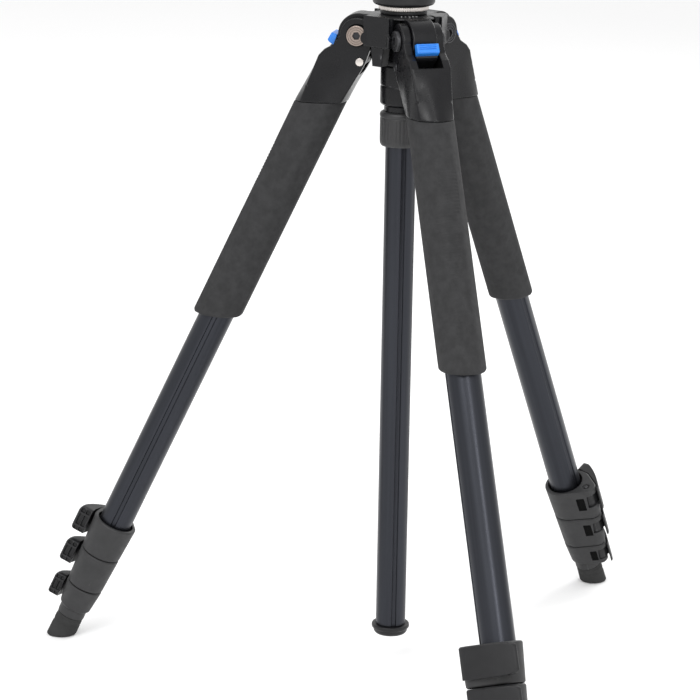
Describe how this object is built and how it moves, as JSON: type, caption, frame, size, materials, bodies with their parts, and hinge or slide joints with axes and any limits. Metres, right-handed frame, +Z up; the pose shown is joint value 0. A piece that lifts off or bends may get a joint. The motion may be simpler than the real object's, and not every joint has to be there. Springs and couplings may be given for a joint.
{
  "type": "camera tripod",
  "caption": "Folding camera tripod with telescopic lever-lock legs, angle latches, rubber grips, a sliding centre column with a twist collar and a round camera platform.",
  "frame": {"origin": "middle of the standing footprint's bounding box, on the floor; the centre column's axis is 62.5 mm behind it, at +Y", "axes": "+Z up along the centre column, -Y towards the front leg, +X to the right of it"},
  "size_m": [0.4756, 0.4215, 0.5262],
  "materials": {
    "casting": "black satin stove enamel on die-cast light alloy",
    "anodised": "satin blue-black anodised tube",
    "housing": "fine matt moulded, dark grey",
    "lever_plastic": "fine matt moulded, near black",
    "black_plastic": "satin moulded, black",
    "collar_plastic": "satin moulded, black",
    "rubber_grip": "matt ribbed rubber",
    "rubber_foot": "matt rubber",
    "blue_plastic": "satin blue moulding",
    "bright_ring": "bright turned and knurled",
    "steel": "plain plated steel"
  },
  "bodies": {
    "shoulder": {"shoulder": "casting", "column_sleeve": "casting", "column_washer": "black_plastic", "column_collet": "black_plastic"},
    "column": {"column": "anodised", "column_cap": "black_plastic", "lock_ring": "bright_ring", "platform": "black_plastic", "platform_pad": "rubber_foot", "camera_stud": "steel"},
    "twist_collar": {"twist_collar": "collar_plastic"},
    "left_leg": {"left_yoke": "casting", "left_hinge_bolt": "steel", "left_latch_pin": "steel", "left_grip": "rubber_grip", "left_tube_1": "anodised", "left_lock_1": "housing"},
    "left_latch": {"left_angle_latch": "blue_plastic"},
    "left_lever_1": {"left_lever_1": "lever_plastic"},
    "left_section_2": {"left_tube_2": "anodised", "left_lock_2": "housing"},
    "left_lever_2": {"left_lever_2": "lever_plastic"},
    "left_section_3": {"left_tube_3": "anodised", "left_lock_3": "housing"},
    "left_lever_3": {"left_lever_3": "lever_plastic"},
    "left_section_4": {"left_tube_4": "anodised", "left_foot": "rubber_foot"},
    "front_leg": {"front_yoke": "casting", "front_hinge_bolt": "steel", "front_latch_pin": "steel", "front_grip": "rubber_grip", "front_tube_1": "anodised", "front_lock_1": "housing"},
    "front_latch": {"front_angle_latch": "blue_plastic"},
    "front_lever_1": {"front_lever_1": "lever_plastic"},
    "front_section_2": {"front_tube_2": "anodised", "front_lock_2": "housing"},
    "front_lever_2": {"front_lever_2": "lever_plastic"},
    "front_section_3": {"front_tube_3": "anodised", "front_lock_3": "housing"},
    "front_lever_3": {"front_lever_3": "lever_plastic"},
    "front_section_4": {"front_tube_4": "anodised", "front_foot": "rubber_foot"},
    "right_leg": {"right_yoke": "casting", "right_hinge_bolt": "steel", "right_latch_pin": "steel", "right_grip": "rubber_grip", "right_tube_1": "anodised", "right_lock_1": "housing"},
    "right_latch": {"right_angle_latch": "blue_plastic"},
    "right_lever_1": {"right_lever_1": "lever_plastic"},
    "right_section_2": {"right_tube_2": "anodised", "right_lock_2": "housing"},
    "right_lever_2": {"right_lever_2": "lever_plastic"},
    "right_section_3": {"right_tube_3": "anodised", "right_lock_3": "housing"},
    "right_lever_3": {"right_lever_3": "lever_plastic"},
    "right_section_4": {"right_tube_4": "anodised", "right_foot": "rubber_foot"}
  },
  "joints": [
    {"name": "column_slide", "type": "slide", "parent": "shoulder", "child": "column", "axis": [0, 0, 1], "range_m": [0, 0.36]},
    {"name": "collar_twist", "type": "hinge", "parent": "shoulder", "child": "twist_collar", "pos_m": [0, 0.0624, 0.42], "axis": [0, 0, 1], "range_deg": [0, 90]},
    {"name": "left_leg_spread", "type": "hinge", "parent": "shoulder", "child": "left_leg", "pos_m": [-0.02685, 0.0779, 0.4827], "axis": [0.5, 0.866, 0], "range_deg": [-25.1, 55]},
    {"name": "left_latch_press", "type": "hinge", "parent": "left_leg", "child": "left_latch", "pos_m": [-0.02484, 0.07674, 0.46361], "axis": [-0.5, -0.866, 0], "range_deg": [0, 12], "stiffness_Nm_per_rad": 0.2, "springref_deg": -17.19},
    {"name": "left_lever_1_flip", "type": "hinge", "parent": "left_leg", "child": "left_lever_1", "pos_m": [-0.18183, 0.19105, 0.08741], "axis": [-0.3674, 0.2121, -0.9056], "range_deg": [0, 90]},
    {"name": "left_section_2_slide", "type": "slide", "parent": "left_leg", "child": "left_section_2", "axis": [-0.3674, 0.2121, -0.9056], "range_m": [0, 0.32]},
    {"name": "left_lever_2_flip", "type": "hinge", "parent": "left_section_2", "child": "left_lever_2", "pos_m": [-0.19312, 0.19615, 0.06104], "axis": [-0.3674, 0.2121, -0.9056], "range_deg": [0, 90]},
    {"name": "left_section_3_slide", "type": "slide", "parent": "left_section_2", "child": "left_section_3", "axis": [-0.3674, 0.2121, -0.9056], "range_m": [0, 0.31]},
    {"name": "left_lever_3_flip", "type": "hinge", "parent": "left_section_3", "child": "left_lever_3", "pos_m": [-0.20547, 0.20044, 0.03349], "axis": [-0.3674, 0.2121, -0.9056], "range_deg": [0, 90]},
    {"name": "left_section_4_slide", "type": "slide", "parent": "left_section_3", "child": "left_section_4", "axis": [-0.3674, 0.2121, -0.9056], "range_m": [0, 0.3]},
    {"name": "front_leg_spread", "type": "hinge", "parent": "shoulder", "child": "front_leg", "pos_m": [0, 0.0314, 0.4827], "axis": [-1, 0, 0], "range_deg": [-25.1, 55]},
    {"name": "front_latch_press", "type": "hinge", "parent": "front_leg", "child": "front_latch", "pos_m": [0, 0.03372, 0.46361], "axis": [1, 0, 0], "range_deg": [0, 12], "stiffness_Nm_per_rad": 0.2, "springref_deg": -17.19},
    {"name": "front_lever_1_flip", "type": "hinge", "parent": "front_leg", "child": "front_lever_1", "pos_m": [-0.0205, -0.1594, 0.08741], "axis": [0, -0.4242, -0.9056], "range_deg": [0, 90]},
    {"name": "front_section_2_slide", "type": "slide", "parent": "front_leg", "child": "front_section_2", "axis": [0, -0.4242, -0.9056], "range_m": [0, 0.32]},
    {"name": "front_lever_2_flip", "type": "hinge", "parent": "front_section_2", "child": "front_lever_2", "pos_m": [-0.01927, -0.17172, 0.06104], "axis": [0, -0.4242, -0.9056], "range_deg": [0, 90]},
    {"name": "front_section_3_slide", "type": "slide", "parent": "front_section_2", "child": "front_section_3", "axis": [0, -0.4242, -0.9056], "range_m": [0, 0.31]},
    {"name": "front_lever_3_flip", "type": "hinge", "parent": "front_section_3", "child": "front_lever_3", "pos_m": [-0.01681, -0.18456, 0.03349], "axis": [0, -0.4242, -0.9056], "range_deg": [0, 90]},
    {"name": "front_section_4_slide", "type": "slide", "parent": "front_section_3", "child": "front_section_4", "axis": [0, -0.4242, -0.9056], "range_m": [0, 0.3]},
    {"name": "right_leg_spread", "type": "hinge", "parent": "shoulder", "child": "right_leg", "pos_m": [0.02685, 0.0779, 0.4827], "axis": [0.5, -0.866, 0], "range_deg": [-25.1, 55]},
    {"name": "right_latch_press", "type": "hinge", "parent": "right_leg", "child": "right_latch", "pos_m": [0.02484, 0.07674, 0.46361], "axis": [-0.5, 0.866, 0], "range_deg": [0, 12], "stiffness_Nm_per_rad": 0.2, "springref_deg": -17.19},
    {"name": "right_lever_1_flip", "type": "hinge", "parent": "right_leg", "child": "right_lever_1", "pos_m": [0.20233, 0.15555, 0.08741], "axis": [0.3674, 0.2121, -0.9056], "range_deg": [0, 90]},
    {"name": "right_section_2_slide", "type": "slide", "parent": "right_leg", "child": "right_section_2", "axis": [0.3674, 0.2121, -0.9056], "range_m": [0, 0.32]},
    {"name": "right_lever_2_flip", "type": "hinge", "parent": "right_section_2", "child": "right_lever_2", "pos_m": [0.21239, 0.16277, 0.06104], "axis": [0.3674, 0.2121, -0.9056], "range_deg": [0, 90]},
    {"name": "right_section_3_slide", "type": "slide", "parent": "right_section_2", "child": "right_section_3", "axis": [0.3674, 0.2121, -0.9056], "range_m": [0, 0.31]},
    {"name": "right_lever_3_flip", "type": "hinge", "parent": "right_section_3", "child": "right_lever_3", "pos_m": [0.22228, 0.17132, 0.03349], "axis": [0.3674, 0.2121, -0.9056], "range_deg": [0, 90]},
    {"name": "right_section_4_slide", "type": "slide", "parent": "right_section_3", "child": "right_section_4", "axis": [0.3674, 0.2121, -0.9056], "range_m": [0, 0.3]}
  ]
}
